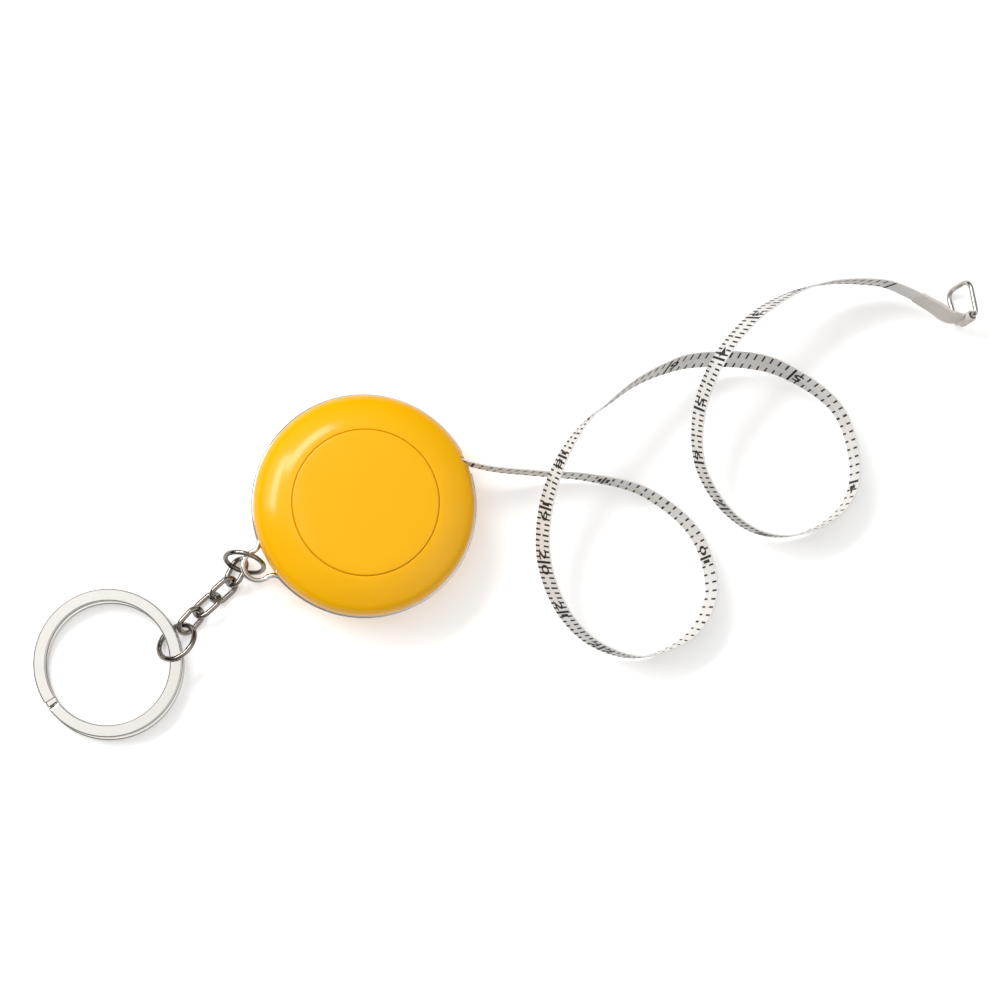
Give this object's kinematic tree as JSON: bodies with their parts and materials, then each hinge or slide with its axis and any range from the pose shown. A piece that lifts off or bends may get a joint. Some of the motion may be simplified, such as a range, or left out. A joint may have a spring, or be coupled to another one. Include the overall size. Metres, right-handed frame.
{
  "type": "pocket tape measure",
  "caption": "Round spring-return pocket tape measure with a large release button, printed tape pulled out in loops, and a short chain with a split key ring.",
  "frame": {"origin": "middle of the flat back that the case lies on", "axes": "+Z out of the front of the case through the button, +X toward the tape, +Y up in the picture"},
  "size_m": [0.176, 0.0877, 0.0156],
  "materials": {
    "case": "glossy moulded yellow",
    "button": "satin moulded yellow",
    "nickel": "polished nickel plate",
    "spring_steel": "plain spring steel",
    "nylon": "natural moulded nylon",
    "tape": "white coated cloth with black print",
    "tape_end": "folded coated cloth, grey beige"
  },
  "bodies": {
    "case": {"rear_shell": "case", "front_shell": "case", "wire_bail": "nickel", "arbor": "nylon", "button_spring": "spring_steel", "free_tape": "tape", "end_tab": "tape_end"},
    "button": {"release_button": "button", "cross_pin": "spring_steel", "brake_disc": "nylon"},
    "reel": {"reel_drum": "nylon", "reel_cover": "nylon", "mainspring": "spring_steel", "wound_tape": "tape"},
    "pull_ring": {"end_ring": "nickel"},
    "case_ring": {"case_jump_ring": "nickel"},
    "link_1": {"chain_link_1": "nickel"},
    "link_2": {"chain_link_2": "nickel"},
    "link_3": {"chain_link_3": "nickel"},
    "link_4": {"chain_link_4": "nickel"},
    "key_link": {"key_jump_ring": "nickel"},
    "key_ring": {"split_key_ring": "nickel"}
  },
  "joints": [
    {"name": "button_press", "type": "slide", "parent": "case", "child": "button", "axis": [0, 0, -1], "range_m": [0, 0.0009], "stiffness_N_per_m": 2500, "springref_m": -0.001, "deforming": ["button_spring"]},
    {"name": "reel_spin", "type": "hinge", "parent": "case", "child": "reel", "pos_m": [0, 0, 0.0077], "axis": [0, 0, 1], "range_deg": [-5796, 1224]},
    {"name": "pull_ring_swing", "type": "hinge", "parent": "case", "child": "pull_ring", "pos_m": [0.1141, 0.037, 0.00438], "axis": [0.4701, 0.2701, 0.8403], "range_deg": [-150, 15]},
    {"name": "case_ring_swing", "type": "hinge", "parent": "case", "child": "case_ring", "pos_m": [-0.02161, -0.00953, 0.00695], "axis": [-0.5878, -0.809, 0], "range_deg": [-45, 30]},
    {"name": "link_1_swing", "type": "hinge", "parent": "case_ring", "child": "link_1", "pos_m": [-0.02309, -0.01143, 0.0014], "axis": [0.9053, -0.3607, -0.2244], "range_deg": [-40, 60]},
    {"name": "link_2_swing", "type": "hinge", "parent": "link_1", "child": "link_2", "pos_m": [-0.02454, -0.01428, 0.00175], "axis": [0.63, -0.321, 0.7071], "range_deg": [-45, 45]},
    {"name": "link_3_swing", "type": "hinge", "parent": "link_2", "child": "link_3", "pos_m": [-0.02759, -0.01708, 0.00175], "axis": [0.4777, -0.5213, -0.7071], "range_deg": [-45, 45]},
    {"name": "link_4_swing", "type": "hinge", "parent": "link_3", "child": "link_4", "pos_m": [-0.03064, -0.01988, 0.00175], "axis": [0.4777, -0.5213, 0.7071], "range_deg": [-45, 45]},
    {"name": "key_link_swing", "type": "hinge", "parent": "link_4", "child": "key_link", "pos_m": [-0.03336, -0.023, 0.00175], "axis": [0.5337, -0.4639, -0.7071], "range_deg": [-35, 35]},
    {"name": "key_ring_swing", "type": "hinge", "parent": "key_link", "child": "key_ring", "pos_m": [-0.0359, -0.02815, 0.00422], "axis": [-0.7204, 0.1905, -0.6669], "range_deg": [-70, 4]}
  ]
}
